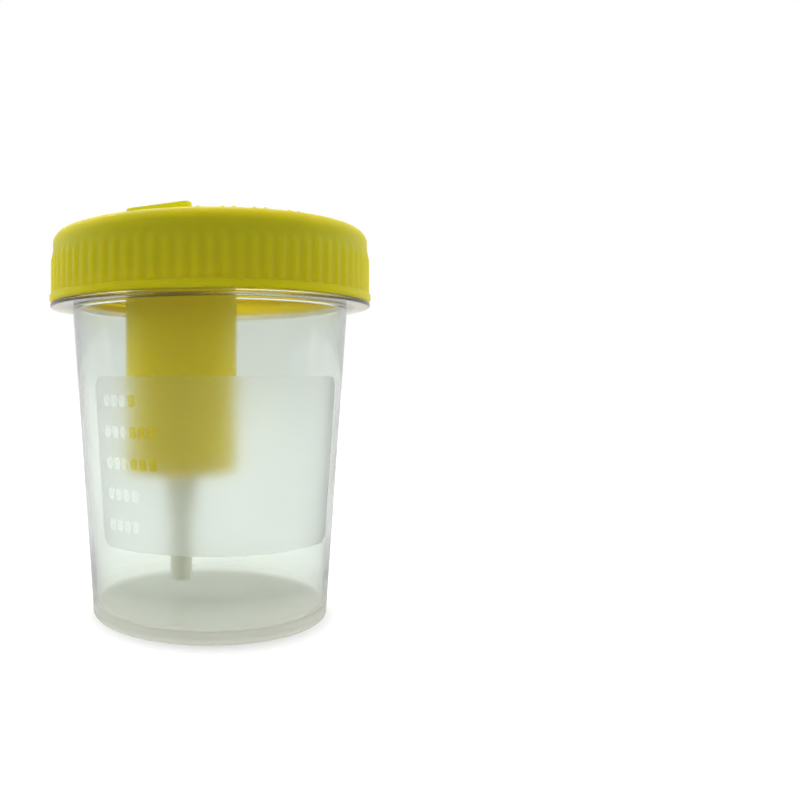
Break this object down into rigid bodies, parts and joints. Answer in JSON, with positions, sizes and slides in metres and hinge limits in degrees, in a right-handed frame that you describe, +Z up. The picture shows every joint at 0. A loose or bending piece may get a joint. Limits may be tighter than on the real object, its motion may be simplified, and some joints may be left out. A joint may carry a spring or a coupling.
{
  "type": "specimen container",
  "caption": "Translucent screw-lid specimen cup whose lid has a well, covered needle and straw for drawing the sample into a vacuum tube.",
  "frame": {"origin": "centre of the foot ring, on the surface the cup stands on", "axes": "+Z up along the cup's axis; -Y is the side with the write-on panel and the seal's pull tab"},
  "size_m": [0.0636, 0.0636, 0.0763],
  "materials": {
    "cup_polypropylene": "moulded, translucent, with a frosted write-on panel",
    "lid_polyethylene": "moulded, yellow, satin",
    "ring_elastomer": "smooth, white",
    "hub_polypropylene": "moulded, white",
    "needle_steel": "drawn and ground",
    "sleeve_rubber": "smooth, grey",
    "straw_polypropylene": "moulded, milky",
    "seal_film": "plain yellow film"
  },
  "bodies": {
    "cup_body": {"cup": "cup_polypropylene"},
    "seal_body": {"sealing_ring": "ring_elastomer"},
    "lid_body": {"screw_lid": "lid_polyethylene", "needle_hub": "hub_polypropylene", "needle_cannula": "needle_steel", "needle_sleeve": "sleeve_rubber", "transfer_straw": "straw_polypropylene", "peel_seal": "seal_film"}
  },
  "joints": [
    {"name": "lid_lift", "type": "slide", "parent": "cup_body", "child": "seal_body", "axis": [0, 0, 1], "range_m": [0, 0.075]},
    {"name": "lid_turn", "type": "hinge", "parent": "seal_body", "child": "lid_body", "pos_m": [0, 0, 0.0721], "axis": [0, 0, 1], "range_deg": [0, 360]}
  ]
}
